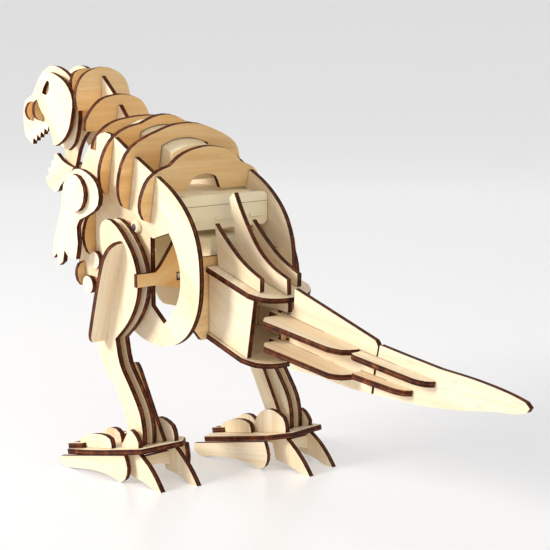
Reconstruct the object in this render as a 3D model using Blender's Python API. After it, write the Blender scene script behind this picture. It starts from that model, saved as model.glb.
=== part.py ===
"""Walking tyrannosaur jigsaw: laser-cut plywood sheets around a battery box.

Sizes are in millimetres. X is across the animal (+X is its left side), +Y points to the tail,
+Z is up and the floor is z = 0. Outlines are closed lists of (u, v) points on the sheet; a point
made by corner() is sharp, every other point lies on a smooth curve.
"""
import math

import bmesh
import bpy
from mathutils import Matrix, Vector

MM = 0.001
DATUM = Vector((0.0, -11.5, 0.0))

PLY = 3.0
HALF = PLY / 2
GAP = 0.3
SLOT = HALF + GAP
FAR = 60.0
DECK = (-PLY, 0.0)

SIDE_X = 32.5
RIB_LEAN = math.radians(11.5)
RIB_A = (-18.2, 164.8)
RIB_B = (-37.5, 172.9)
RIB_C = (-56.5, 182.4)
NECK_LOW = (-72.0, 189.0)
NECK_HIGH = (-98.0, 199.0)
CREST_Y = -115.0

BOX_HALF = 30.5
BOX_TOP = 155.0
BOX_FRONT = -58.0
BOX_FLOOR = 137.0
BOX_WALL = 2.0
LID = 5.0

HOUSING_HALF = 15.6
HOUSING_RISE = 0.335

DECK_HALF = 21.0
UPPER_DECK = (3.0, 121.0, math.atan(0.286))
LOWER_DECK = (2.6, 85.1, math.atan(0.296))
TAIL_WALL_X = 17.5
TAIL_ROOT_Y = 7.5

TAIL_AXIS_Y = 47.5
TAIL_PIN = 2.0
VANE_UPPER = (57.3, 95.8, math.atan(0.17))
VANE_LOWER = (67.5, 80.1, math.atan(0.148))
TIP_UPPER = (105.7, 87.1, math.atan(0.1324))
TIP_LOWER = (109.3, 76.6, math.atan(0.0955))

FACE_X = 9.5
CHEEK_X = 15.5
SNOUT_FRONT_Y = -177.0
SNOUT_REAR_Y = -165.0
SKULL_BACK_Y = -129.0
JAW_X = 4.5
JAW_AXIS = (-149.0, 159.0)
JAW_PIN = 1.6

ARM_X = 44.6
SHOULDER = (-73.0, 153.0)
SHOULDER_PIN = 2.0

STRIDE = 28.0
LEG_INNER_X = 38.0
LEG_OUTER_X = 44.5
STRUT_X = 32.2
HIP_Z = 110.5
HIP_LEFT_Y = -18.5
HIP_RIGHT_Y = -2.5
HIP_PIN = 2.0
LINK_NECK = (107.0, 114.0)
FIN_LEAN = math.radians(18.3)

SOLE_PITCH = math.atan(-0.194)
SOLE = (-8.0, 21.0, SOLE_PITCH)
CLAW_INNER_X = 28.4
CLAW_OUTER_X = 49.6

WOOD = ((0.87, 0.72, 0.50), 0.62)
CREAM = ((0.83, 0.79, 0.66), 0.35)
STEEL = ((0.70, 0.71, 0.72), 0.30)

cuts = {}


# ---------------------------------------------------------------- outlines

def corner(u, v):
    return (u, v, True)


def smooth_outline(points, step=4.0):
    """Closed curve through the points; a corner has no tangent across it."""
    outline = []
    count = len(points)
    for i, start in enumerate(points):
        end = points[(i + 1) % count]
        a = Vector(start[:2])
        b = Vector(end[:2])
        outline.append(a)
        chord = (b - a).length
        sharp_a = len(start) > 2
        sharp_b = len(end) > 2
        if sharp_a and sharp_b:
            continue
        before = Vector(points[i - 1][:2])
        after = Vector(points[(i + 2) % count][:2])
        leave = (b - a) if sharp_a else (b - before).normalized() * chord
        arrive = (b - a) if sharp_b else (after - a).normalized() * chord
        pieces = min(5, max(2, round(chord / step)))
        for k in range(1, pieces):
            t = k / pieces
            outline.append(
                (2 * t**3 - 3 * t**2 + 1) * a + (t**3 - 2 * t**2 + t) * leave
                + (3 * t**2 - 2 * t**3) * b + (t**3 - t**2) * arrive
            )
    return outline


def both_sides(half):
    """Outline symmetric about u = 0 from its right half, which runs from the centre to the centre."""
    first = 1 if abs(half[0][0]) < HALF else 0
    last = len(half) - (1 if abs(half[-1][0]) < HALF else 0)
    left = [(-point[0],) + tuple(point[1:]) for point in reversed(half[first:last])]
    return list(half) + left


def flip(points, side):
    return [(side * point[0],) + tuple(point[1:]) for point in points]


def circle_points(u, v, radius, count=8):
    angles = [2 * math.pi * i / count for i in range(count)]
    return [(u + radius * math.cos(a), v + radius * math.sin(a)) for a in angles]


def circle(u, v, radius, count=20):
    return [Vector(point) for point in circle_points(u, v, radius, count)]


# ---------------------------------------------------------------- sheet planes

def plane(origin, u, v):
    u = Vector(u).normalized()
    v = Vector(v).normalized()
    place = Matrix((u, v, u.cross(v))).transposed().to_4x4()
    place.translation = (Vector(origin) + DATUM) * MM
    return place


def lengthwise(x, shift=0.0):
    """Upright sheet along the animal: u is y, v is z."""
    return plane((x, shift, 0), (0, 1, 0), (0, 0, 1))


def crosswise(y, z, lean=0.0):
    """Sheet across the animal, its top leaning to the tail: u is x, v reads z where it crosses (y, z)."""
    s = math.sin(lean)
    c = math.cos(lean)
    return plane((0, y - z * s, z - z * c), (1, 0, 0), (0, s, c))


def sloping(y, z, fall):
    """Sheet lying down, falling to the tail: u is x, v reads y where its top crosses (y, z)."""
    s = math.sin(fall)
    c = math.cos(fall)
    return plane((0, y - y * c, z + y * s), (1, 0, 0), (0, c, -s))


# ---------------------------------------------------------------- solids

def finish_material(name, look):
    colour, roughness = look
    material = bpy.data.materials.new(name)
    material.use_nodes = True
    shader = material.node_tree.nodes["Principled BSDF"]
    shader.inputs["Base Color"].default_value = (*colour, 1.0)
    shader.inputs["Roughness"].default_value = roughness
    shader.inputs["Metallic"].default_value = 1.0 if look is STEEL else 0.0
    return material


def new_object(name, bm, place, look):
    bmesh.ops.recalc_face_normals(bm, faces=bm.faces)
    mesh = bpy.data.meshes.new(name)
    bm.to_mesh(mesh)
    bm.free()
    mesh.materials.append(finish_material(name, look))
    obj = bpy.data.objects.new(name, mesh)
    bpy.context.scene.collection.objects.link(obj)
    obj.matrix_world = place
    return obj


def add_prism(bm, loops, span):
    """Fill the first loop less the others, and extrude it from span[0] to span[1]."""
    edges = []
    for loop in loops:
        verts = [bm.verts.new((u * MM, v * MM, span[0] * MM)) for u, v in loop]
        edges += [bm.edges.new(pair) for pair in zip(verts, verts[1:] + verts[:1])]
    filled = bmesh.ops.triangle_fill(bm, edges=edges, use_beauty=True)
    faces = [item for item in filled["geom"] if isinstance(item, bmesh.types.BMFace)]
    raised = bmesh.ops.extrude_face_region(bm, geom=faces)
    top = [item for item in raised["geom"] if isinstance(item, bmesh.types.BMVert)]
    bmesh.ops.translate(bm, verts=top, vec=(0, 0, (span[1] - span[0]) * MM))


def sheet(name, place, points, holes=(), span=(-HALF, HALF), look=WOOD):
    """One cut sheet, or a moulded block with the same outline all through."""
    bm = bmesh.new()
    add_prism(bm, [smooth_outline(points), *holes], span)
    return new_object(name, bm, place, look)


def add_box(bm, place, u, v, n):
    size = Vector((u[1] - u[0], v[1] - v[0], n[1] - n[0])) * MM
    centre = Vector((u[0] + u[1], v[0] + v[1], n[0] + n[1])) * MM / 2
    matrix = place @ Matrix.Translation(centre) @ Matrix.Diagonal((*size, 1))
    bmesh.ops.create_cube(bm, size=1.0, matrix=matrix)


def block(name, u, v, n, look):
    """Box in plain x, y, z ranges."""
    bm = bmesh.new()
    add_box(bm, Matrix.Identity(4), u, v, n)
    return new_object(name, bm, plane((0, 0, 0), (1, 0, 0), (0, 1, 0)), look)


def rod(name, start, end, radius, look, sides=20):
    """Round bar from start to end."""
    axis = Vector(end) - Vector(start)
    place = axis.to_track_quat("Z", "Y").to_matrix().to_4x4()
    place.translation = ((Vector(start) + Vector(end)) / 2 + DATUM) * MM
    bm = bmesh.new()
    bmesh.ops.create_cone(bm, cap_ends=True, segments=sides, radius1=radius * MM,
                          radius2=radius * MM, depth=axis.length * MM)
    return new_object(name, bm, place, look)


def hide_tool(obj):
    obj.hide_render = True
    obj.display_type = "WIRE"


def combine(target, tool, operation):
    modifier = target.modifiers.new(tool.name, "BOOLEAN")
    modifier.operation = operation
    modifier.solver = "EXACT"
    modifier.object = tool
    hide_tool(tool)


# ---------------------------------------------------------------- slots

def cut(name, place, u, v, n):
    cuts.setdefault(name, []).append((place, u, v, n))


def half_lap(cross, upright, x, place, middle):
    """The crosswise sheet is slotted from below, the lengthwise sheet from above."""
    cut(cross, place, (x - SLOT, x + SLOT), (middle - FAR, middle + GAP / 2), (-PLY, PLY))
    cut(upright, place, (x - PLY, x + PLY), (middle - GAP / 2, middle + FAR), (-SLOT, SLOT))


def slide_lap(deck, upright, place, middle):
    """The upright sheet is slotted from its front end, the lying sheet from its rear end."""
    cut(upright, place, (-PLY, PLY), (middle - FAR, middle), (-PLY - GAP, GAP))
    cut(deck, place, (-SLOT, SLOT), (middle - GAP, middle + FAR), (-2 * PLY, PLY))


def make_slots():
    for name, boxes in cuts.items():
        bm = bmesh.new()
        for box in boxes:
            add_box(bm, *box)
        tool = new_object("slots_" + name, bm, Matrix.Identity(4), WOOD)
        combine(bpy.data.objects[name], tool, "DIFFERENCE")


# ---------------------------------------------------------------- body

def side_plate(name, x):
    rim = [
        (-90, 158), (-83, 174), (-68, 186.3), (-58, 186.3), (-42.6, 178.7), (-20.4, 167.9),
        (-2.3, 158.2), (11, 146), (18.2, 132), (20.4, 115), (18.4, 98), (10.5, 84.5),
        (-2, 76.4), (-19.3, 73.9), (-36, 77.5), (-50, 86), (-64, 100), corner(-76, 104.5),
        corner(-91.5, 104.5), (-93, 122), (-92.5, 142),
    ]
    opening = [
        corner(-22, 133), corner(-19.5, 132.2), corner(-5.5, 136.6), (-0.4, 129), (3.6, 118),
        (3.2, 105), (-3.6, 92.6), corner(-10.9, 86.6), corner(-22, 95),
    ]
    bore = circle(*SHOULDER, SHOULDER_PIN + GAP)
    sheet(name, lengthwise(x), rim, [smooth_outline(opening), bore])
    cut(name, crosswise(-76.0, 0.0), (x - PLY, x + PLY), (116.2, 141.3), (-SLOT, SLOT))
    cut(name, crosswise(-87.0, 0.0), (x - PLY, x + PLY), (60, 108.15), (-SLOT, SLOT))


def ribs():
    cap = both_sides([
        (0, 165.8), (7.5, 164), (11, 158.5), corner(12, 156.6), corner(SIDE_X, 156.6),
        corner(SIDE_X, 140.4), (38.4, 141.8), (41.8, 150), (40.6, 158.7), (37.8, 164.6),
        (32, 168.8), corner(24.6, 171.3), (19.4, 176), (12, 179.3), (0, 181.2),
    ])
    middle = both_sides([
        (0, 185), (9, 184.1), corner(16.4, 181.2), corner(16.4, 163), corner(SIDE_X, 163),
        corner(SIDE_X, 145.2), (38, 147.5), (42, 158), (41, 172), (36.4, 180.4),
        (28, 185.6), (18, 189.6), (9, 192.3), (0, 193),
    ])
    front = both_sides([
        (0, 191.5), (9, 190.6), corner(16.4, 187.7), corner(16.4, 172), corner(SIDE_X, 172),
        corner(SIDE_X, 151.4), (37.4, 154), (40.8, 165), (38.8, 177), (33.4, 185.5),
        (25, 190.2), corner(16, 192.2), (9, 195.4), (0, 197),
    ])
    for name, spot, points, middle_z in (
        ("rib_rear", RIB_A, cap, 160.0), ("rib_middle", RIB_B, middle, 167.5), ("rib_front", RIB_C, front, 177.0),
    ):
        place = crosswise(*spot, RIB_LEAN)
        sheet(name, place, points)
        half_lap(name, "side_plate_left", SIDE_X, place, middle_z)
        half_lap(name, "side_plate_right", -SIDE_X, place, middle_z)


def neck():
    low = both_sides([
        corner(0, 177), corner(35.4, 177), (34.8, 182), (31, 187.3), (26, 191), (19, 193.6), (0, 195.6),
    ])
    high = both_sides([
        corner(0, 185.5), corner(22.4, 185.5), (22.8, 192), (19, 199), (14, 203.8), (8, 206), (0, 207),
    ])
    crest = both_sides([
        corner(0, 197), corner(18.2, 197), (19.4, 204), (18, 211.5), (14.4, 217), (8.6, 220.6), (0, 222.5),
    ])
    low_place = crosswise(*NECK_LOW, RIB_LEAN)
    high_place = crosswise(*NECK_HIGH, RIB_LEAN)
    crest_place = crosswise(CREST_Y, 0.0)
    sheet("neck_rib_low", low_place, low)
    sheet("neck_rib_high", high_place, high)
    sheet("neck_crest", crest_place, crest)
    sheet("neck_spine", lengthwise(0), [
        corner(-123.2, 220), (-116.5, 219.4), (-109, 213.4), (-101, 206.3), (-94, 198.6), (-86, 190.8),
        (-77, 187.6), corner(-68.5, 187), corner(-68.5, 180.5), (-84, 180.5), (-100, 187), (-112, 197),
        corner(-123.2, 203),
    ])
    half_lap("neck_rib_low", "side_plate_left", SIDE_X, low_place, 180.5)
    half_lap("neck_rib_low", "side_plate_right", -SIDE_X, low_place, 180.5)
    half_lap("neck_rib_low", "neck_spine", 0, low_place, 184.0)
    half_lap("neck_rib_high", "neck_spine", 0, high_place, 196.5)
    half_lap("neck_crest", "neck_spine", 0, crest_place, 208.0)


def chest():
    sheet("chest_rib_upper", crosswise(-76.0, 0.0), both_sides([
        corner(0, 116.6), corner(34.4, 116.6), (38.6, 118.8), (41.4, 127), (39.8, 136), (37.6, 139.6),
        corner(34.4, 140.9), corner(0, 140.9),
    ]))
    sheet("chest_rib_lower", crosswise(-87.0, 0.0), both_sides([
        corner(0, 97.6), corner(30, 97.6), (36.4, 98.4), (39.4, 104.6), (37.6, 111), corner(33, 112.2),
        corner(0, 112.2),
    ]))
    for x in (-SIDE_X, SIDE_X):
        cut("chest_rib_lower", crosswise(-87.0, 0.0), (x - SLOT, x + SLOT), (107.85, 130), (-PLY, PLY))


def battery_box():
    """Open tray with end walls, and the lid that closes it."""
    rim = BOX_TOP - LID - GAP
    inner = BOX_HALF - BOX_WALL
    section = both_sides([
        corner(0, BOX_FLOOR), corner(BOX_HALF - BOX_WALL, BOX_FLOOR), corner(BOX_HALF, BOX_FLOOR + BOX_WALL),
        corner(BOX_HALF, rim), corner(inner, rim), corner(inner, BOX_FLOOR + 2 * BOX_WALL),
        corner(inner - BOX_WALL, BOX_FLOOR + BOX_WALL), corner(0, BOX_FLOOR + BOX_WALL),
    ])
    tray = sheet("battery_tray", crosswise(0.0, 0.0), section, span=(0, -BOX_FRONT), look=CREAM)
    for name, low in (("tray_rear", -BOX_WALL), ("tray_front", BOX_FRONT)):
        wall = block(name, (-inner - 0.5, inner + 0.5), (low, low + BOX_WALL), (BOX_FLOOR + 1, rim), CREAM)
        combine(tray, wall, "UNION")
    lid_section = both_sides([
        corner(0, BOX_TOP - LID), corner(BOX_HALF, BOX_TOP - LID), (BOX_HALF, BOX_TOP - 2),
        (BOX_HALF - 2, BOX_TOP), corner(0, BOX_TOP),
    ])
    sheet("battery_lid", crosswise(0.0, 0.0), lid_section, span=(0, -BOX_FRONT), look=CREAM)


def motor_housing():
    """Arched cover that runs through the hollows of the middle and front ribs, rising to the neck."""
    rise = math.atan(HOUSING_RISE)
    top = 184.3
    section = both_sides([
        corner(0, top - 20), corner(HOUSING_HALF, top - 20), corner(HOUSING_HALF, top - 4),
        (9, top - 1.1), (0, top),
    ])
    place = crosswise(-35.1, top, RIB_LEAN)
    housing = sheet("motor_housing", place, section, span=(-11, 31), look=CREAM)
    shear = Matrix.Identity(4)
    shear[1][2] = math.tan(rise - RIB_LEAN)
    housing.data.transform(shear)


def gearbox():
    section = [
        corner(-44, 104), (-44, 97), (-38, 92), corner(-30, 92), corner(4, 92), corner(5.4, 96),
        corner(5.4, 133), corner(-44, 133),
    ]
    sheet("gearbox", lengthwise(0), section, span=(-14.5, 14.5), look=CREAM)
    rod("hip_pin_left", (14.8, HIP_LEFT_Y, HIP_Z), (20, HIP_LEFT_Y, HIP_Z), HIP_PIN, STEEL)
    rod("hip_pin_right", (-20, HIP_RIGHT_Y, HIP_Z), (-14.8, HIP_RIGHT_Y, HIP_Z), HIP_PIN, STEEL)


# ---------------------------------------------------------------- tail box

def deck_height(deck, y):
    return deck[1] - (y - deck[0]) * math.tan(deck[2])


def tail_box():
    upper = sloping(*UPPER_DECK)
    lower = sloping(*LOWER_DECK)
    thick = PLY / math.cos(UPPER_DECK[2])
    sheet("tail_deck_upper", upper, both_sides([
        corner(0, 10.6), corner(DECK_HALF, 10.6), corner(DECK_HALF, 46), (17, 52.5), (9, 56), (0, 57),
    ]), span=DECK)
    sheet("tail_deck_lower", lower, both_sides([
        corner(0, 10.6), corner(DECK_HALF, 10.6), corner(DECK_HALF, 40), (17, 47.5), (9, 51.4), (0, 52.4),
    ]), span=DECK)
    for name, x in (("tail_wall_left", TAIL_WALL_X), ("tail_wall_right", -TAIL_WALL_X)):
        sheet(name, lengthwise(x), [
            corner(9.6, deck_height(UPPER_DECK, 9.6) - thick - GAP),
            corner(46, deck_height(UPPER_DECK, 46) - thick - GAP),
            corner(40.5, deck_height(LOWER_DECK, 40.5) + GAP),
            corner(9.6, deck_height(LOWER_DECK, 9.6) + GAP),
        ])
    sheet("tail_root", crosswise(TAIL_ROOT_Y, 0.0), both_sides([
        corner(0, 79.5), corner(24, 79.5), corner(30.7, 88), corner(30.7, 124), corner(0, 124),
    ]))
    sheet("tail_keel", lengthwise(0), [
        corner(28, deck_height(UPPER_DECK, 28) - thick - GAP),
        corner(52.8, deck_height(UPPER_DECK, 52.8) - thick - GAP),
        corner(52.8, 97.9), corner(42, 98.8), corner(28, 98.8),
    ])


def back_fins():
    under = [deck_height(UPPER_DECK, y) + GAP for y in (52.3, 45.7, 12.0)]
    sheet("back_fin_centre", lengthwise(0), [
        corner(5.7, 154), corner(9.6, 157), (14.2, 148.4), (23, 135.2), (30.5, 126.7), (40.5, 119.8),
        corner(52, 115.2), corner(52.3, under[0]), corner(12, under[2]), corner(10.2, 136.8),
    ])
    for name, x in (("back_fin_left", 13.0), ("back_fin_right", -13.0)):
        sheet(name, lengthwise(x), [
            corner(9.4, 141.4), (13, 137.6), (20.5, 131), (29, 124.4), (37.5, 119.6), corner(45.9, 116),
            corner(45.7, under[1]), corner(12, under[2]),
        ])


# ---------------------------------------------------------------- tail

def tail():
    upper = sloping(*VANE_UPPER)
    lower = sloping(*VANE_LOWER)
    tip_upper = sloping(*TIP_UPPER)
    tip_lower = sloping(*TIP_LOWER)
    bore = circle(0, TAIL_AXIS_Y, TAIL_PIN + 3 * GAP)
    sheet("tail_blade_front", lengthwise(0), [
        corner(58.2, 111.2), corner(116, 93.6), (118, 90.6), corner(116.2, 84), corner(113.8, 66.3),
        corner(98.9, 66.3), corner(75.7, 68.4), corner(54.4, 68.2), corner(54.4, 96), corner(57.6, 101.5),
    ])
    sheet("tail_blade_rear", lengthwise(0), [
        corner(119.4, 91.7), corner(136.7, 89.4), corner(157.8, 86.8), (182, 85.1), (204, 81.6),
        (210, 78.4), (205.5, 75), (191.4, 73.2), corner(171, 69.6), corner(149.6, 67.2), corner(115.4, 66.4),
        corner(117.6, 84),
    ])
    sheet("tail_vane_upper", upper, both_sides([
        corner(0, 43.2), corner(6, 43.2), corner(6, 50.5), corner(15.5, 50.5), corner(20, 54.5),
        corner(15, 97), (11, 103.5), (0, 106.6),
    ]), [bore], DECK)
    sheet("tail_vane_lower", lower, both_sides([
        corner(0, 43.2), corner(6, 43.2), corner(6, 48), corner(13.5, 48), corner(17.5, 52),
        corner(14, 97), (9.6, 102), (0, 104),
    ]), [bore], DECK)
    sheet("tail_tip_upper", tip_upper, both_sides([
        corner(0, 107.4), corner(9, 107.4), corner(10, 110), corner(8.4, 148), (6, 153.6), (0, 156.4),
    ]), span=DECK)
    sheet("tail_tip_lower", tip_lower, both_sides([
        corner(0, 107), corner(8, 107), corner(8.6, 109), corner(7.4, 134), (5.4, 139.4), (0, 142),
    ]), span=DECK)
    slide_lap("tail_vane_upper", "tail_blade_front", upper, 80.0)
    slide_lap("tail_vane_lower", "tail_blade_front", lower, 76.0)
    for vane, place, start, middle in (
        ("tail_tip_upper", tip_upper, 107.4, 130.0), ("tail_tip_lower", tip_lower, 107.0, 124.0),
    ):
        slide_lap(vane, "tail_blade_rear", place, middle)
        cut("tail_blade_front", place, (-PLY, PLY), (start - GAP, start + FAR / 2), (-PLY - GAP, GAP))
    rod("tail_pin", (0, TAIL_AXIS_Y, 72.6), (0, TAIL_AXIS_Y, 97.5), TAIL_PIN, WOOD)


# ---------------------------------------------------------------- head

def teeth(start, end, count, depth):
    """Zigzag of sharp points from start to end, on the left of that direction."""
    a = Vector(start)
    run = Vector(end) - a
    across = Vector((-run.y, run.x)).normalized() * depth
    points = []
    for i in range(count):
        root = a + run * (i / count)
        tip = a + run * ((i + 0.5) / count) + across
        points += [corner(*root), corner(*tip)]
    return points + [corner(*end)]


def skull():
    bore = circle(*JAW_AXIS, JAW_PIN + GAP)
    sheet("skull_core", lengthwise(0), [
        corner(-123.5, 203), (-130, 212.5), (-145, 218), (-159, 213), (-168, 203), (-179, 198.5),
        (-182.6, 190), corner(-179.5, 181.5), (-165, 184), (-155.5, 176), (-154, 162), (-149, 154.6),
        (-144.2, 160), (-139, 172), (-132, 181), corner(-123.5, 187),
    ], [bore])
    for side, name in ((1, "left"), (-1, "right")):
        sheet("face_" + name, lengthwise(side * FACE_X), [
            (-152, 222.8), (-138, 219.4), (-128.7, 212.5), (-124.7, 203), (-125, 189), (-129.5, 177),
            corner(-136.7, 172), (-143.5, 174.6), corner(-149.5, 182.5), corner(-152, 173.8),
            corner(-156, 182.5), *teeth((-158.4, 186.6), (-180.4, 175.6), 5, 3.2), (-185.4, 179),
            (-187, 190), (-184.6, 200.6), (-176.4, 204.2), (-171.4, 210.6), (-163.5, 218.6),
        ])
        eye = smooth_outline([(-147.4, 214), (-152.4, 210.6), corner(-155, 206.4), (-150.6, 205.2), (-146.9, 208.6)],
                             step=2.0)
        sheet("cheek_" + name, lengthwise(side * CHEEK_X), [
            (-148, 219), (-134.2, 215.7), (-125.7, 210), (-121.7, 202.5), (-123.1, 194), (-126.9, 184.5),
            (-134, 178), corner(-141.7, 174.7), (-146, 182), (-151, 190), (-158, 197.5), (-161.6, 206),
            (-157.5, 214.5),
        ], [eye])
    sheet("skull_back", crosswise(SKULL_BACK_Y, 0.0), both_sides([
        corner(0, 192), corner(12.8, 192), corner(12.8, 214), (11, 218.6), (6, 220.8), (0, 221.4),
    ]))
    half_lap("skull_back", "face_left", FACE_X, crosswise(SKULL_BACK_Y, 0.0), 203.0)
    half_lap("skull_back", "face_right", -FACE_X, crosswise(SKULL_BACK_Y, 0.0), 203.0)
    half_lap("skull_back", "skull_core", 0, crosswise(SKULL_BACK_Y, 0.0), 203.0)
    snout_strip("snout_strip_front", SNOUT_FRONT_Y, 15.4)
    snout_strip("snout_strip_rear", SNOUT_REAR_Y, 17.2)


def snout_strip(name, y, half_width):
    low = 189.0
    high = 202.5 if y > SNOUT_FRONT_Y else 200.0
    middle = (low + high) / 2
    sheet(name, crosswise(y, 0.0), both_sides([
        corner(0, low), corner(FACE_X + PLY, low), (half_width - 1.2, low + 2), (half_width, middle),
        (half_width - 1.2, high - 2), corner(FACE_X + PLY, high), corner(0, high),
    ]))
    for holder, x in (("face_left", FACE_X), ("face_right", -FACE_X), ("skull_core", 0.0)):
        cut(holder, crosswise(y, 0.0), (x - PLY, x + PLY), (low - GAP, high + GAP), (-SLOT, SLOT))


def lower_jaw(pivot):
    """Two toothed plates on one pin through the skull core."""
    profile = [
        corner(-157.5, 168.8), (-152, 165), (-146.5, 162.8), corner(-139, 161), corner(-141, 159.2),
        corner(-154.6, 148.4), (-157, 145.4), (-162, 144.8), (-168.5, 148.6),
        corner(-170.5, 153.2), corner(-166.4, 155.2), corner(-167.6, 158.4), corner(-163.4, 160),
        corner(-164, 163.4), corner(-160, 164.6), corner(-160.2, 167.4),
    ]
    jaw = sheet("lower_jaw", lengthwise(JAW_X), profile)
    other = sheet("lower_jaw_right_half", lengthwise(-JAW_X), profile)
    pin = rod("lower_jaw_pin", (-JAW_X, *JAW_AXIS), (JAW_X, *JAW_AXIS), JAW_PIN, WOOD, sides=16)
    combine(jaw, pin, "UNION")
    combine(jaw, other, "UNION")
    jaw.parent = pivot
    jaw.matrix_parent_inverse = Matrix.Translation(-pivot.location)


# ---------------------------------------------------------------- arms

def arm(side, name, pivot):
    x = side * ARM_X
    plate = sheet("arm_" + name, lengthwise(x), [
        (-61, 164), (-53.5, 157), (-54, 148), (-62, 142.6), corner(-72, 138.6), (-75.4, 134), (-74.6, 125),
        corner(-77, 115.4), corner(-85, 116.4), corner(-88.6, 119.4), corner(-90.4, 112.6), corner(-94.6, 110),
        corner(-96.4, 117), corner(-100.4, 113.6), (-100, 122), (-95, 134), (-91, 144), (-87.5, 157),
        (-76, 166.6),
    ])
    pad = sheet("shoulder_pad_" + name, lengthwise(x), circle_points(-73.6, 153.6, 10.6),
                span=(0, HALF + PLY) if side > 0 else (-HALF - PLY, 0))
    pin = rod("shoulder_pin_" + name, (side * 29, *SHOULDER), (x, *SHOULDER), SHOULDER_PIN, WOOD)
    combine(plate, pad, "UNION")
    combine(plate, pin, "UNION")
    plate.parent = pivot
    plate.matrix_parent_inverse = Matrix.Translation(-pivot.location)


# ---------------------------------------------------------------- legs and feet

def sole_top(y):
    return deck_height(SOLE, y)


def leg(side, name, shift, hip_y, pivot):
    pieces = []
    outline = [
        (-46.5, 141.2), (-38, 138.8), (-29, 131.5), (-21.6, 122), (-17.9, 109), (-20.4, 97.5), (-28, 86),
        corner(-39.6, 75.5), (-36, 62), (-26, 49), (-18.4, 38), (-15.6, 28), corner(-15.6, sole_top(-15.6) + GAP),
        corner(-28, sole_top(-28) + GAP), (-30, 30), (-38, 45), (-50, 57), (-57.5, 68), (-56, 82),
        (-49.5, 96), (-48, 112), (-51.5, 127), (-52.4, 136),
    ]
    for part, x in (("leg_outer_", LEG_OUTER_X), ("leg_inner_", LEG_INNER_X)):
        pieces.append(sheet(part + name, lengthwise(side * x, shift), outline))
        cut(part + name, crosswise(hip_y, 0.0), (side * x - PLY, side * x + PLY),
            (LINK_NECK[0] - GAP, LINK_NECK[1] + GAP), (-SLOT, SLOT))
    fin = sheet("thigh_fin_" + name, crosswise(-40.5 + shift, 103.0, FIN_LEAN), flip([
        corner(LEG_OUTER_X, 72), corner(55, 72), (56.4, 76), (57, 118), (55, 127), (50.6, 131),
        corner(LEG_OUTER_X, 131.6),
    ], side))
    combine(pieces[0], fin, "UNION")
    pieces.append(sheet("strut_" + name, lengthwise(side * STRUT_X, shift), [
        corner(-14, sole_top(-14) + GAP), corner(-35, 56.5), (-38.5, 60.2), (-43, 58.4), corner(-43.6, 52),
        corner(-24, sole_top(-24) + GAP),
    ], span=(-1.2, 1.2)))
    pieces.append(sheet("hip_link_" + name, crosswise(hip_y, 0.0), flip([
        corner(46.6, LINK_NECK[0]), corner(46.6, LINK_NECK[1]), corner(34.6, LINK_NECK[1]), (30.8, 117.2),
        corner(20.6, 131), corner(16.4, 131), corner(16.4, 112.8), corner(20.4, 112.8), corner(20.4, 108.2),
        corner(16.4, 108.2), corner(16.4, 103.4), corner(34.6, LINK_NECK[0]),
    ], side)))
    pieces += foot(side, name, shift)
    for piece in pieces:
        piece.parent = pivot
        piece.matrix_parent_inverse = Matrix.Translation(-pivot.location)


def foot(side, name, shift):
    place = sloping(SOLE[0] + shift, SOLE[1], SOLE_PITCH)
    sole = sheet("sole_" + name, place, shift_v(flip([
        corner(53, -7), corner(28, -3.4), corner(18, -14), (12, -42), corner(9, -60), (22, -67.5),
        (42, -69.5), corner(61, -68.5), (60, -40),
    ], side), shift), span=DECK)
    step = sheet("toe_step_" + name, place, shift_v(flip([
        corner(58, -57), corner(22, -57), corner(20, -66), (40, -69), corner(60, -68.5),
    ], side), shift), span=(-1, PLY))
    combine(sole, step, "UNION")
    for number, (x, front, rear, rise) in enumerate(((54, -64, -31.5, 8.5), (38, -67, -45, 9), (24, -62, -33, 8.5))):
        middle = (front + rear) / 2
        knuckle = sheet("knuckle_%d_%s" % (number, name), lengthwise(side * x, shift), [
            corner(front, sole_top(front) - 1), (front + 3, sole_top(front) + rise * 0.7),
            (middle + 2, sole_top(middle) + rise), (rear - 1.5, sole_top(rear) + rise * 0.6),
            corner(rear, sole_top(rear) - 1),
        ])
        combine(sole, knuckle, "UNION")
    toe_outer = toe("toe_outer_" + name, (side * 54.6, -17.2 + shift), side * math.radians(9.3), shift)
    toe_inner = toe("toe_inner_" + name, (side * 17.4, -12.5 + shift), -side * math.radians(11.5), shift)
    heel = claw("heel_" + name, side * CLAW_INNER_X, shift, -37.0, -8.4, 31.6)
    outer = claw("claw_outer_" + name, side * CLAW_OUTER_X, shift, -28.0, -12.5, 28.8)
    bar = sheet("heel_bar_" + name, crosswise(-14.5 + shift, 0.0), flip([
        corner(CLAW_INNER_X, 6), (39, 9), corner(CLAW_OUTER_X, 6), corner(CLAW_OUTER_X, 14.4),
        corner(CLAW_INNER_X, 14.4),
    ], side))
    combine(heel, bar, "UNION")
    combine(heel, outer, "UNION")
    for x, front, rear in ((CLAW_INNER_X, -37.0, -8.4), (CLAW_OUTER_X, -28.0, -12.5)):
        cut("sole_" + name, lengthwise(side * x, shift), (front - 2 * GAP, rear + 1.2), (0, 40), (-SLOT, SLOT))
    return [sole, toe_outer, toe_inner, heel]


def shift_v(points, shift):
    return [(point[0], point[1] + shift) + tuple(point[2:]) for point in points]


def toe(name, rear, splay, shift):
    """Upright plate under the edge of the sole, from its rear end on the floor towards the front."""
    along = Vector((-math.sin(splay), math.cos(splay), 0))
    place = plane((rear[0], rear[1], 0), along, (0, 0, 1))

    def under(u):
        return sole_top(rear[1] - shift + u * math.cos(splay)) - PLY / math.cos(SOLE_PITCH) - GAP

    return sheet(name, place, [
        corner(-1.6, under(-1.6)), (0.6, 9), (-1, 2.6), corner(-5, 0), (-14, 2.4), (-27, 2.8),
        (-40, 1.2), corner(-48, 0), (-52.4, 2.4), corner(-53, under(-53)),
    ])


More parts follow.
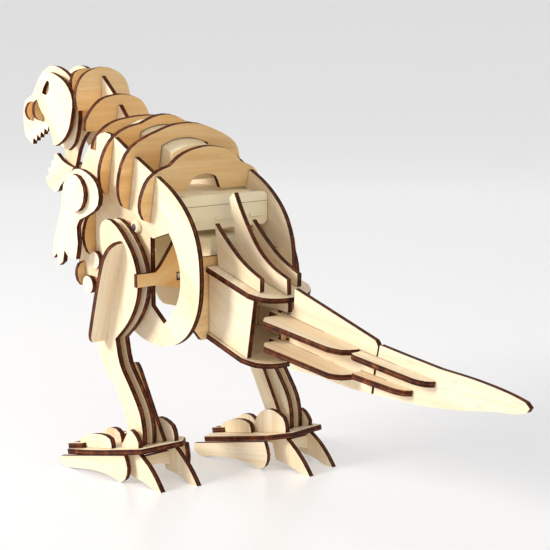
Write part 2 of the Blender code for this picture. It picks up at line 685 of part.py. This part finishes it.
def claw(name, x, shift, front, rear, top):
    """Heel spur: a hump above the sole, and a curved spike behind it that reaches the floor."""
    low = 6.0
    return sheet(name, lengthwise(x, shift), [
        corner(rear, sole_top(rear) - PLY - GAP), (rear + 8, 12.2), (rear + 14.5, 6.5), corner(rear + 20, 0),
        corner(rear + 14, 0), (rear + 4, 2.2), corner(rear - 8, 3.4), corner(rear - 11, low + 6.5),
        corner(front, sole_top(front) - PLY - GAP - 0.4), corner(front, sole_top(front) + 1.2),
        (front + 5, (sole_top(front) + top) / 2 + 3), ((front + rear) / 2, top), (rear - 2.5, top - 2.6),
        corner(rear, sole_top(rear) + 3),
    ])


# ---------------------------------------------------------------- assembly

def pivot_at(name, x, y, z):
    empty = bpy.data.objects.new(name, None)
    bpy.context.scene.collection.objects.link(empty)
    empty.location = (Vector((x, y, z)) + DATUM) * MM
    return empty


def parent_to(pivot, names):
    for name in names:
        piece = bpy.data.objects[name]
        piece.parent = pivot
        piece.matrix_parent_inverse = Matrix.Translation(-pivot.location)


def main():
    for obj in list(bpy.data.objects):
        bpy.data.objects.remove(obj, do_unlink=True)
    side_plate("side_plate_left", SIDE_X)
    side_plate("side_plate_right", -SIDE_X)
    ribs()
    neck()
    chest()
    battery_box()
    motor_housing()
    gearbox()
    tail_box()
    back_fins()
    tail()
    skull()
    lower_jaw(pivot_at("jaw_axis", 0, *JAW_AXIS))
    arm(1, "left", pivot_at("shoulder_left_axis", ARM_X, *SHOULDER))
    arm(-1, "right", pivot_at("shoulder_right_axis", -ARM_X, *SHOULDER))
    leg(1, "left", 0.0, HIP_LEFT_Y, pivot_at("hip_left_axis", 20, HIP_LEFT_Y, HIP_Z))
    leg(-1, "right", STRIDE, HIP_RIGHT_Y, pivot_at("hip_right_axis", -20, HIP_RIGHT_Y, HIP_Z))
    parent_to(pivot_at("tail_axis", 0, TAIL_AXIS_Y, 84), (
        "tail_blade_front", "tail_blade_rear", "tail_vane_upper", "tail_vane_lower", "tail_tip_upper",
        "tail_tip_lower",
    ))
    make_slots()


main()
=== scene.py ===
"""Looks of the walking tyrannosaur jigsaw: burnt-edged plywood, cream plastic and a pale studio bowl."""
import math

import bmesh
import bpy
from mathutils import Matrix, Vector


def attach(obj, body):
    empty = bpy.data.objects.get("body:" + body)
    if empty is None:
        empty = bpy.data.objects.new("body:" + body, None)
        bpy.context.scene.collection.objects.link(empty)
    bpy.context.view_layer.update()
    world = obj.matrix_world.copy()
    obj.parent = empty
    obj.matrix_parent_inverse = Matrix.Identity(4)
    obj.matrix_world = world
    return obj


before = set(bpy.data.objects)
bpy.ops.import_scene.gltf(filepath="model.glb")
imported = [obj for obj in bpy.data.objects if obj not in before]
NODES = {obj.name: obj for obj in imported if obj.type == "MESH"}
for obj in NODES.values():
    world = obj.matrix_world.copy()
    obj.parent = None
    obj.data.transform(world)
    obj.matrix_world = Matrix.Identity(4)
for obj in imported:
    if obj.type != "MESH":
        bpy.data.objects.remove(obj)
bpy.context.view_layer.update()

MM = 0.001
X_AXIS = Vector((1, 0, 0))
Y_AXIS = Vector((0, 1, 0))
Z_AXIS = Vector((0, 0, 1))

# The small parts are placed in the drawing's millimetres; adding this to Y gives the row frame.
DATUM_Y = -11.5
PLY = 3.0

# Round caps on the ends of the breast frames: (x, y, z) of the inner face on the left side.
CHEST_CAPS = ((34.2, -72.0, 114.6), (34.2, -79.0, 99.6))
CHEST_CAP_RADIUS = 5.0

# Crank head beside each thigh: (x, y, z) of its inner face, with x measured outwards.
CRANK_LEFT = (34.1, -33.5, 137.4)
CRANK_RIGHT = (46.1, 2.0, 121.0)
CRANK_RADIUS = 3.4
CRANK_LENGTH = 2.2
CRANK_CHAMFER = 0.5
CRANK_SCREW_RADIUS = CRANK_RADIUS * 0.55
CRANK_SCREW_RISE = 0.5
CRANK_SCREW_CHAMFER = 0.3
DISC_SIDES = 32

# Battery box: bead round the lid's joint, catch ledges on the rear wall, screws and grip on the lid.
BOX_HALF = 30.5
LID_TOP = 155.0
SEAM_HALF = BOX_HALF + 0.3
SEAM_Y = (-58.3, 0.4)
SEAM_Z = (148.7, 149.5)
LEDGES_X = ((-25.2, -17.2), (-7.0, 7.0), (17.2, 25.2))
LEDGE_Y = (0.0, 1.4)
LEDGE_Z = (141.8, 143.2)
LID_SCREWS = ((-25.0, -6.0), (25.0, -6.0))
LID_SCREW_RADIUS = 2.3
LID_SCREW_RISE = 0.35
LID_SCREW_SIDES = 28
LIP_X = (-21.0, 21.0)
LIP_Y = (-4.2, -3.0)
LIP_RISE = 0.5
RIB_X = (-7.0, 7.0)
RIB_Y = (-12.0, -11.2)
RIB_STEP = 1.6
RIB_RISE = 0.4
RIB_COUNT = 5

# Cosine between a surface and its sheet: burnt edge up to the first, clean face from the second.
EDGE_FULL = 0.55
EDGE_NONE = 0.80

# Joined pieces: |x| of the middle of their upright plates in millimetres, and half a plate in metres.
LEG_PLATES = (44.5,)
CLAW_PLATES = (28.4, 49.6)
KNUCKLE_PLATES = (24.0, 38.0, 54.0)
PLATE_REACH = 0.001502
TOP_CLEARANCE = 0.2
FIN_LEAN = math.radians(18.3)
FIN_NORMAL = Vector((0, -math.cos(FIN_LEAN), math.sin(FIN_LEAN)))

# No sheet's normal is square to this direction, so it tells a normal from its opposite.
HALF_SPACE = Vector((0.31, 0.53, 0.79))
GRAIN_TRIES = 24
# Sheets whose normal lies this close to Y get the painted shade tone.
CROSSWISE = 0.7
SHEET_SHIFT = 0.37
CAPS_SEED = 90

# Darkest, middle and palest tone of the figure: pale sapwood, and a darker, warmer tone for the cross
# frames, which is painted shade, since they face away from the key light.
SAPWOOD = ((0.82, 0.65, 0.43), (0.89, 0.76, 0.56), (0.94, 0.83, 0.66))
PAINTED_SHADE_WOOD = ((0.76, 0.47, 0.19), (0.84, 0.57, 0.27), (0.90, 0.67, 0.36))
FIGURE_STOPS = (0.30, 0.50, 0.72)
FIBRE_TINTS = ((0.34, (0.86, 0.80, 0.72)), (0.60, (1.0, 1.0, 1.0)))
FIBRE_STRENGTH = 0.65
FLECK = (0.55, 0.36, 0.18)
FLECK_LEVEL = 0.71
FLECK_STRENGTH = 0.3
BURNT_TONES = (
    (0.28, (0.012, 0.002, 0.001)), (0.46, (0.060, 0.011, 0.002)), (0.64, (0.14, 0.032, 0.007)),
    (0.80, (0.29, 0.095, 0.028)),
)
SCORCH_SHARE = 0.75
LAYER_SHARE = 0.25

# Noise scales of the wood per metre: along the grain, across it and through the sheet.
FIGURE_SCALE = (5.0, 46.0, 20.0)
FIBRE_SCALE = (14.0, 330.0, 330.0)
FLECK_SCALE = (120.0, 900.0, 900.0)
SCORCH_SCALE = (260.0, 260.0, 90.0)
LAYER_SCALE = 160.0

WOOD_ROUGHNESS = (0.44, 0.62)
BURNT_ROUGHNESS = 0.12
WOOD_RELIEF = (0.22, 0.00025)
WOOD_SPECULAR = 0.22

PLASTIC_NODES = ("battery_tray", "battery_lid", "motor_housing", "gearbox")
PLASTIC_TONES = ((0.35, (0.92, 0.79, 0.52)), (0.65, (0.96, 0.86, 0.62)))
PLASTIC_ROUGHNESS = (0.24, 0.42)
PLASTIC_RELIEF = (0.05, 0.0001)
CLOUD_SCALE = 28.0
GRIT_SCALE = 2600.0

STEEL_NODES = ("hip_pin_left", "hip_pin_right")
STEEL_TONES = ((0.3, (0.52, 0.53, 0.54)), (0.7, (0.68, 0.69, 0.70)))
STEEL_ROUGHNESS = (0.22, 0.38)
SCRATCH_SCALE = (200.0, 6000.0, 6000.0)

# Camera of the photograph: metres, degrees and millimetres.
CAMERA_AT = (0.4620, 0.5518, 0.2328)
CAMERA_AZIMUTH = 138.5
CAMERA_ELEVATION = 9.5
LENS = 88.36
SENSOR = 36.0
CLIP_START = 0.01

# Bowl in metres: flat floor, quarter-round bend and straight wall.
BOWL_RADIUS = 1.5
BOWL_BEND = 1.1
BOWL_TOP = 2.6
BOWL_SIDES = 64
BOWL_STEPS = 12
BOWL_COLOUR = (0.54, 0.54, 0.55, 1.0)
BOWL_ROUGHNESS = 0.30
BOWL_GLOW_COLOUR = (1.0, 0.995, 0.985, 1.0)
BOWL_GLOW = 0.37
SKY_COLOUR = (0.97, 0.98, 1.0, 1.0)
SKY_STRENGTH = 0.30

# Lights: (name, metres towards the camera, to its right and up, width in metres, watts, colour).
LIGHTS = (
    ("key", (0.25, -1.2, 0.72), 0.45, 18.0, (1.0, 0.97, 0.92)),
    ("fill", (1.3, 0.7, 0.9), 1.2, 2.6, (1.0, 0.97, 0.93)),
    ("top", (0.0, 0.0, 1.6), 1.0, 2.4, (1.0, 0.985, 0.96)),
)
LIGHT_AIM = Vector((0, 0, 0.11))


# ---------------------------------------------------------------- shader helpers

def new_material(name):
    """(material, its node tree, its surface shader)."""
    material = bpy.data.materials.new(name)
    material.use_nodes = True
    tree = material.node_tree
    return material, tree, tree.nodes["Principled BSDF"]


def add_node(tree, kind, **values):
    """New node with the values of its named inputs, where an underscore stands for a space."""
    item = tree.nodes.new(kind)
    for key, value in values.items():
        item.inputs[key.replace("_", " ")].default_value = value
    return item


def maths(tree, operation, a, b=None, clamp=False):
    """Result of one step of arithmetic on sockets or plain numbers."""
    item = tree.nodes.new("ShaderNodeMath")
    item.operation = operation
    item.use_clamp = clamp
    for socket, value in zip(item.inputs, (a, b)):
        if value is None:
            continue
        if isinstance(value, (int, float)):
            socket.default_value = value
        else:
            tree.links.new(value, socket)
    return item.outputs[0]


def dot(tree, vector, direction):
    """Length of a vector socket along a fixed direction."""
    item = tree.nodes.new("ShaderNodeVectorMath")
    item.operation = "DOT_PRODUCT"
    tree.links.new(vector, item.inputs[0])
    item.inputs[1].default_value = direction
    return item.outputs["Value"]


def ramp(tree, factor, stops):
    """Colour ramp from (place, colour) pairs."""
    item = tree.nodes.new("ShaderNodeValToRGB")
    bands = item.color_ramp.elements
    while len(bands) < len(stops):
        bands.new(0.5)
    for band, (place, colour) in zip(bands, stops):
        band.position = place
        band.color = (*colour, 1.0)
    tree.links.new(factor, item.inputs["Fac"])
    return item.outputs["Color"]


def mix(tree, factor, a, b, blend="MIX"):
    """Colour between a and b, each a socket or a plain colour."""
    item = tree.nodes.new("ShaderNodeMix")
    item.data_type = "RGBA"
    item.blend_type = blend
    for socket, value in ((item.inputs["Factor"], factor), (item.inputs["A"], a), (item.inputs["B"], b)):
        if isinstance(value, (int, float)):
            socket.default_value = value
        elif isinstance(value, tuple):
            socket.default_value = (*value, 1.0)
        else:
            tree.links.new(value, socket)
    return item.outputs["Result"]


def choose(tree, mask, base, other, kind):
    """The base socket where the mask is zero and the other where it is one; kind is their data type."""
    item = tree.nodes.new("ShaderNodeMix")
    item.data_type = kind
    factor, a, b = (socket for socket in item.inputs if socket.enabled)
    tree.links.new(mask, factor)
    tree.links.new(base, a)
    tree.links.new(other, b)
    return [socket for socket in item.outputs if socket.enabled][0]


def spread(tree, factor, limits):
    """A factor from zero to one, spread between two limits."""
    item = add_node(tree, "ShaderNodeMapRange", To_Min=limits[0], To_Max=limits[1])
    tree.links.new(factor, item.inputs["Value"])
    return item.outputs["Result"]


def noise(tree, place, **values):
    item = add_node(tree, "ShaderNodeTexNoise", **values)
    tree.links.new(place, item.inputs["Vector"])
    return item.outputs["Fac"]


def stretched_noise(tree, place, scale, detail, roughness=0.5, distortion=0.0):
    """Noise with its own scale along each axis."""
    stretch = add_node(tree, "ShaderNodeMapping", Scale=scale)
    tree.links.new(place, stretch.inputs["Vector"])
    return noise(
        tree, stretch.outputs[0], Scale=1.0, Detail=detail, Roughness=roughness, Distortion=distortion
    )


def relief(tree, shader, height, amount):
    """Fine relief on the surface; amount is (strength, distance in metres)."""
    bump = add_node(tree, "ShaderNodeBump", Strength=amount[0], Distance=amount[1])
    tree.links.new(height, bump.inputs["Height"])
    tree.links.new(bump.outputs["Normal"], shader.inputs["Normal"])


# ---------------------------------------------------------------- sheets of a node

def sheet_axes(obj):
    """(face normal, grain direction) of a cut sheet, from the area and the spread of its faces."""
    groups = {}
    for face in obj.data.polygons:
        normal = face.normal
        if normal.dot(HALF_SPACE) < 0:
            normal = -normal
        key = tuple(round(c, 1) for c in normal)
        area, summed = groups.get(key, (0.0, Vector()))
        groups[key] = (area + face.area, summed + normal * face.area)
    normal = max(groups.values(), key=lambda group: group[0])[1].normalized()
    points = [v.co - normal * v.co.dot(normal) for v in obj.data.vertices]
    centre = sum(points, Vector()) / len(points)
    side = normal.orthogonal().normalized()
    other = normal.cross(side)
    angles = [math.pi * k / GRAIN_TRIES for k in range(GRAIN_TRIES)]
    directions = [side * math.cos(a) + other * math.sin(a) for a in angles]
    grain = max(directions, key=lambda d: sum(((p - centre).dot(d)) ** 2 for p in points))
    return normal, grain


def top_height(obj, normal):
    """Height along the normal of the largest face that looks that way."""
    heights = {}
    for face in obj.data.polygons:
        if face.normal.dot(normal) > 0.99:
            key = round(face.center.dot(normal) / MM, 1)
            heights[key] = heights.get(key, 0.0) + face.area
    return max(heights, key=heights.get) * MM


def sheets_of(name, obj):
    """The sheets a node is cut from: (list of (normal, grain), upright plate centres, top of the base)."""
    normal, grain = sheet_axes(obj)
    upright = (X_AXIS, Z_AXIS)
    if name.startswith("leg_outer"):
        return [(FIN_NORMAL, Z_AXIS), upright], LEG_PLATES, None
    if name.startswith("heel"):
        return [(Y_AXIS, X_AXIS), upright], CLAW_PLATES, None
    if name.startswith("sole"):
        top = (normal, top_height(obj, normal) + TOP_CLEARANCE * MM)
        return [(normal, grain), upright], KNUCKLE_PLATES, top
    return [(normal, grain)], (), None


# ---------------------------------------------------------------- plywood

def object_normal(tree):
    """The flat normal of a surface, in its piece's own coordinates."""
    geometry = tree.nodes.new("ShaderNodeNewGeometry")
    turn = tree.nodes.new("ShaderNodeVectorTransform")
    turn.vector_type = "NORMAL"
    turn.convert_from = "WORLD"
    turn.convert_to = "OBJECT"
    tree.links.new(geometry.outputs["True Normal"], turn.inputs[0])
    return turn.outputs[0]


def sheet_field(tree, where, facing, normal, grain, seed):
    """(place along the grain, across it and through the sheet; how squarely a face faces out)."""
    place = tree.nodes.new("ShaderNodeCombineXYZ")
    across = maths(tree, "ADD", dot(tree, where, normal.cross(grain)), seed * SHEET_SHIFT)
    tree.links.new(dot(tree, where, grain), place.inputs[0])
    tree.links.new(across, place.inputs[1])
    tree.links.new(dot(tree, where, normal), place.inputs[2])
    return place.outputs[0], maths(tree, "ABSOLUTE", dot(tree, facing, normal))


def upright_mask(tree, where, centres, top):
    """One inside the upright plates of a joined piece, and zero in the sheet they are joined to."""
    distance = maths(tree, "ABSOLUTE", dot(tree, where, X_AXIS))
    total = 0.0
    for centre in centres:
        plate = tree.nodes.new("ShaderNodeMath")
        plate.operation = "COMPARE"
        tree.links.new(distance, plate.inputs[0])
        plate.inputs[1].default_value = centre * MM
        plate.inputs[2].default_value = PLATE_REACH
        total = maths(tree, "ADD", plate.outputs[0], total, clamp=True)
    if top:
        normal, height = top
        above = maths(tree, "GREATER_THAN", dot(tree, where, normal), height)
        total = maths(tree, "MULTIPLY", total, above)
    return total


def wood_colour(tree, place, fibres, tones):
    """Figured face of a sheet, with fine fibres and a few dark flecks."""
    figure = stretched_noise(tree, place, FIGURE_SCALE, 2.0, 0.5, 0.9)
    flecks = stretched_noise(tree, place, FLECK_SCALE, 1.0)
    colour = ramp(tree, figure, tuple(zip(FIGURE_STOPS, tones)))
    colour = mix(tree, FIBRE_STRENGTH, colour, ramp(tree, fibres, FIBRE_TINTS), "MULTIPLY")
    fleck_mask = maths(tree, "GREATER_THAN", flecks, FLECK_LEVEL)
    return mix(tree, maths(tree, "MULTIPLY", fleck_mask, FLECK_STRENGTH), colour, FLECK)


def burnt_edge(tree, place):
    """(how charred, colour) of the laser-cut edge, with the layers of the ply showing."""
    scorch = stretched_noise(tree, place, SCORCH_SCALE, 3.0)
    layer = add_node(tree, "ShaderNodeTexWave", Scale=LAYER_SCALE, Distortion=1.2, Detail=1.0)
    layer.bands_direction = "Z"
    tree.links.new(place, layer.inputs["Vector"])
    layers = maths(tree, "MULTIPLY", layer.outputs["Fac"], LAYER_SHARE)
    char = maths(tree, "ADD", maths(tree, "MULTIPLY", scorch, SCORCH_SHARE), layers)
    return char, ramp(tree, char, BURNT_TONES)


def plywood(name, sheets, seed, centres=(), top=None):
    """Basswood plywood: pale figured faces, with painted shade (darker and warmer) on the cross frames,
    and laser-burnt edges with the ply layers showing.
    """
    material, tree, shader = new_material("plywood_" + name)
    where = add_node(tree, "ShaderNodeTexCoord").outputs["Object"]
    facing = object_normal(tree)
    place, flatness = sheet_field(tree, where, facing, *sheets[0], seed)
    if len(sheets) > 1:
        other_place, other_flatness = sheet_field(tree, where, facing, *sheets[1], seed)
        mask = upright_mask(tree, where, centres, top)
        place = choose(tree, mask, place, other_place, "VECTOR")
        flatness = choose(tree, mask, flatness, other_flatness, "FLOAT")

    # Cross frames face away from the key light: their faces get painted shade, a darker and warmer tone.
    painted_shade_sheet = len(sheets) == 1 and abs(sheets[0][0].y) > CROSSWISE
    fibres = stretched_noise(tree, place, FIBRE_SCALE, 5.0, 0.62)
    face_colour = wood_colour(tree, place, fibres, PAINTED_SHADE_WOOD if painted_shade_sheet else SAPWOOD)
    char, edge_colour = burnt_edge(tree, place)
    edge = add_node(tree, "ShaderNodeMapRange", From_Min=EDGE_NONE, From_Max=EDGE_FULL)
    tree.links.new(flatness, edge.inputs["Value"])
    edge_mask = edge.outputs["Result"]
    tree.links.new(mix(tree, edge_mask, face_colour, edge_colour), shader.inputs["Base Color"])

    burnt = maths(tree, "MULTIPLY", edge_mask, BURNT_ROUGHNESS)
    roughness = maths(tree, "ADD", spread(tree, fibres, WOOD_ROUGHNESS), burnt)
    tree.links.new(roughness, shader.inputs["Roughness"])
    height = maths(tree, "ADD", fibres, maths(tree, "MULTIPLY", char, edge_mask))
    relief(tree, shader, height, WOOD_RELIEF)
    shader.inputs["Specular IOR Level"].default_value = WOOD_SPECULAR
    return material


def put_material(obj, material):
    if not obj.material_slots:
        obj.data.materials.append(material)
    for slot in obj.material_slots:
        slot.material = material


def dress_sheets():
    """Each plywood node gets the grain and the edges of its own sheet."""
    wooden = [name for name in NODES if name not in PLASTIC_NODES + STEEL_NODES]
    for seed, name in enumerate(wooden, 1):
        sheets, centres, top = sheets_of(name, NODES[name])
        put_material(NODES[name], plywood(name, sheets, seed, centres, top))


# ---------------------------------------------------------------- plastic and steel

def cream_plastic():
    """Moulded cream plastic with a fine sheen, faint flow marks and a fine grit."""
    material, tree, shader = new_material("cream_plastic")
    where = add_node(tree, "ShaderNodeTexCoord").outputs["Object"]
    cloud = noise(tree, where, Scale=CLOUD_SCALE, Detail=3.0, Roughness=0.5)
    tree.links.new(ramp(tree, cloud, PLASTIC_TONES), shader.inputs["Base Color"])
    tree.links.new(spread(tree, cloud, PLASTIC_ROUGHNESS), shader.inputs["Roughness"])
    relief(tree, shader, noise(tree, where, Scale=GRIT_SCALE, Detail=1.0), PLASTIC_RELIEF)
    shader.inputs["Subsurface Weight"].default_value = 0.05
    shader.inputs["Subsurface Radius"].default_value = (0.002, 0.0015, 0.001)
    return material


def bright_steel():
    """Drawn steel with fine scratches along X."""
    material, tree, shader = new_material("steel_pin")
    where = add_node(tree, "ShaderNodeTexCoord").outputs["Object"]
    scratch = stretched_noise(tree, where, SCRATCH_SCALE, 2.0)
    tree.links.new(ramp(tree, scratch, STEEL_TONES), shader.inputs["Base Color"])
    tree.links.new(spread(tree, scratch, STEEL_ROUGHNESS), shader.inputs["Roughness"])
    shader.inputs["Metallic"].default_value = 1.0
    return material


# ---------------------------------------------------------------- shapes

def to_row(x, y, z):
    """Row-frame place, in metres, of a point in the drawing's millimetres."""
    return Vector((x, y + DATUM_Y, z)) * MM


def face_band(bm, low, high):
    """Faces that join two rings of the same number of points."""
    count = len(low)
    for k in range(count):
        after = (k + 1) % count
        bm.faces.new((low[k], low[after], high[after], high[k]))


def turned(bm, centre, profile, sides, upright=False):
    """Turned solid along X, or along Z if upright, through (place along the axis, radius) pairs."""
    rings = []
    for along, radius in profile:
        ring = []
        for k in range(sides):
            angle = 2 * math.pi * k / sides
            a = centre[0] + radius * math.cos(angle)
            b = centre[1] + radius * math.sin(angle)
            ring.append(bm.verts.new(to_row(a, b, along) if upright else to_row(along, a, b)))
        rings.append(ring)
    for low, high in zip(rings, rings[1:]):
        face_band(bm, low, high)
    bm.faces.new(rings[0])
    bm.faces.new(rings[-1])


def disc(bm, side, place, radius, thick, chamfer=0.0):
    """Short turned piece from the place outwards, on the left (side 1) or on the right (side -1)."""
    inner = side * place[0]
    outer = inner + side * thick
    profile = [(inner, radius), (outer, radius)]
    if chamfer:
        profile = [(inner, radius), (outer - side * chamfer, radius), (outer, radius - chamfer)]
    turned(bm, place[1:], profile, DISC_SIDES)


def box_shape(bm, x, y, z):
    """Box between the given (low, high) pairs."""
    made = bmesh.ops.create_cube(bm, size=1.0)
    for vert in made["verts"]:
        corner = [pair[0] if value < 0 else pair[1] for pair, value in zip((x, y, z), vert.co)]
        vert.co = to_row(*corner)


def piece(name, bm, material, body, bevel=0.0):
    """New visible piece that rides on a CAD body; the bevel is in millimetres."""
    bmesh.ops.recalc_face_normals(bm, faces=bm.faces)
    mesh = bpy.data.meshes.new(name)
    bm.to_mesh(mesh)
    bm.free()
    obj = bpy.data.objects.new(name, mesh)
    bpy.context.scene.collection.objects.link(obj)
    mesh.materials.append(material)
    if bevel:
        soften = obj.modifiers.new("rounded_edges", "BEVEL")
        soften.width = bevel * MM
        soften.segments = 3
        soften.limit_method = "ANGLE"
    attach(obj, body)


# ---------------------------------------------------------------- small parts

def chest_caps():
    """Round end caps on the breast frames."""
    wood = plywood("caps", [(X_AXIS, Z_AXIS)], CAPS_SEED)
    for side, name in ((1, "left"), (-1, "right")):
        bm = bmesh.new()
        for place in CHEST_CAPS:
            disc(bm, side, place, CHEST_CAP_RADIUS, PLY)
        piece("chest_caps_" + name, bm, wood, "body")


def crank_heads(plastic, steel):
    """Crank boss with its screw at the top of each leg, half a turn apart."""
    for side, name, place in ((1, "left", CRANK_LEFT), (-1, "right", CRANK_RIGHT)):
        bm = bmesh.new()
        disc(bm, side, place, CRANK_RADIUS, CRANK_LENGTH, CRANK_CHAMFER)
        piece("crank_boss_" + name, bm, plastic, "leg_" + name)
        bm = bmesh.new()
        head = (place[0] + CRANK_LENGTH, *place[1:])
        disc(bm, side, head, CRANK_SCREW_RADIUS, CRANK_SCREW_RISE, CRANK_SCREW_CHAMFER)
        piece("crank_screw_" + name, bm, steel, "leg_" + name)


def battery_details(plastic, steel):
    """Seam bead, rear ledges, lid screws and lid grip of the battery box."""
    bm = bmesh.new()
    box_shape(bm, (-SEAM_HALF, SEAM_HALF), SEAM_Y, SEAM_Z)
    piece("battery_seam_bead", bm, plastic, "body", 0.3)

    bm = bmesh.new()
    for ledge in LEDGES_X:
        box_shape(bm, ledge, LEDGE_Y, LEDGE_Z)
    piece("battery_rear_ledges", bm, plastic, "body", 0.25)

    bm = bmesh.new()
    dome = (
        (LID_TOP, LID_SCREW_RADIUS), (LID_TOP + LID_SCREW_RISE * 0.6, LID_SCREW_RADIUS),
        (LID_TOP + LID_SCREW_RISE, LID_SCREW_RADIUS * 0.85),
    )
    for centre in LID_SCREWS:
        turned(bm, centre, dome, LID_SCREW_SIDES, upright=True)
    piece("battery_lid_screws", bm, steel, "body")

    bm = bmesh.new()
    box_shape(bm, LIP_X, LIP_Y, (LID_TOP, LID_TOP + LIP_RISE))
    for k in range(RIB_COUNT):
        rib_y = tuple(end - RIB_STEP * k for end in RIB_Y)
        box_shape(bm, RIB_X, rib_y, (LID_TOP, LID_TOP + RIB_RISE))
    piece("battery_lid_grip", bm, plastic, "body", 0.15)


# ---------------------------------------------------------------- stage

def bowl():
    """Pale seamless bowl for floor and backdrop, with a faint glow of its own."""
    profile = [(BOWL_RADIUS, 0.0)]
    for k in range(1, BOWL_STEPS + 1):
        angle = math.pi / 2 * k / BOWL_STEPS
        reach = BOWL_RADIUS + BOWL_BEND * math.sin(angle)
        profile.append((reach, BOWL_BEND - BOWL_BEND * math.cos(angle)))
    profile.append((BOWL_RADIUS + BOWL_BEND, BOWL_TOP))
    turns = [2 * math.pi * k / BOWL_SIDES for k in range(BOWL_SIDES)]
    bm = bmesh.new()
    rings = []
    for reach, z in profile:
        rings.append([bm.verts.new((reach * math.cos(a), reach * math.sin(a), z)) for a in turns])
    bm.faces.new(rings[0])
    # High ring first: the wall has to face inwards, like the floor.
    for low, high in zip(rings, rings[1:]):
        face_band(bm, high, low)
    mesh = bpy.data.meshes.new("studio_sweep")
    bm.to_mesh(mesh)
    bm.free()
    for face in mesh.polygons:
        face.use_smooth = True
    sweep = bpy.data.objects.new("studio_sweep", mesh)
    bpy.context.scene.collection.objects.link(sweep)
    mesh.materials.append(bowl_paper())


def bowl_paper():
    material, tree, shader = new_material("sweep_paper")
    shader.inputs["Base Color"].default_value = BOWL_COLOUR
    shader.inputs["Roughness"].default_value = BOWL_ROUGHNESS
    shader.inputs["Emission Color"].default_value = BOWL_GLOW_COLOUR
    shader.inputs["Emission Strength"].default_value = BOWL_GLOW
    return material


def sky():
    world = bpy.data.worlds.new("studio_world")
    bpy.context.scene.world = world
    world.use_nodes = True
    background = world.node_tree.nodes["Background"]
    background.inputs["Color"].default_value = SKY_COLOUR
    background.inputs["Strength"].default_value = SKY_STRENGTH


def lights():
    """Key from the camera's left, soft fill from its right and a little light from above."""
    azimuth = math.radians(CAMERA_AZIMUTH)
    toward = Vector((math.sin(azimuth), -math.cos(azimuth), 0))
    rightward = Vector((-toward.y, toward.x, 0))
    for name, (ahead, right, up), size, power, colour in LIGHTS:
        light = bpy.data.lights.new(name, "AREA")
        light.shape = "DISK"
        light.size = size
        light.energy = power
        light.color = colour
        lamp = bpy.data.objects.new(name, light)
        bpy.context.scene.collection.objects.link(lamp)
        place = toward * ahead + rightward * right + Z_AXIS * up
        lamp.location = place
        lamp.rotation_euler = (LIGHT_AIM - place).to_track_quat("-Z", "Y").to_euler()


def camera():
    data = bpy.data.cameras.new("photo_camera")
    data.lens = LENS
    data.sensor_width = SENSOR
    data.clip_start = CLIP_START
    eye = bpy.data.objects.new("photo_camera", data)
    bpy.context.scene.collection.objects.link(eye)
    eye.location = CAMERA_AT
    eye.rotation_euler = (math.radians(90 - CAMERA_ELEVATION), 0, math.radians(CAMERA_AZIMUTH))
    bpy.context.scene.camera = eye


bpy.context.scene.view_settings.view_transform = "Standard"
camera()
bowl()
sky()
lights()
dress_sheets()
plastic = cream_plastic()
for name in PLASTIC_NODES:
    put_material(NODES[name], plastic)
steel = bright_steel()
for name in STEEL_NODES:
    put_material(NODES[name], steel)

chest_caps()
crank_heads(plastic, steel)
battery_details(plastic, steel)
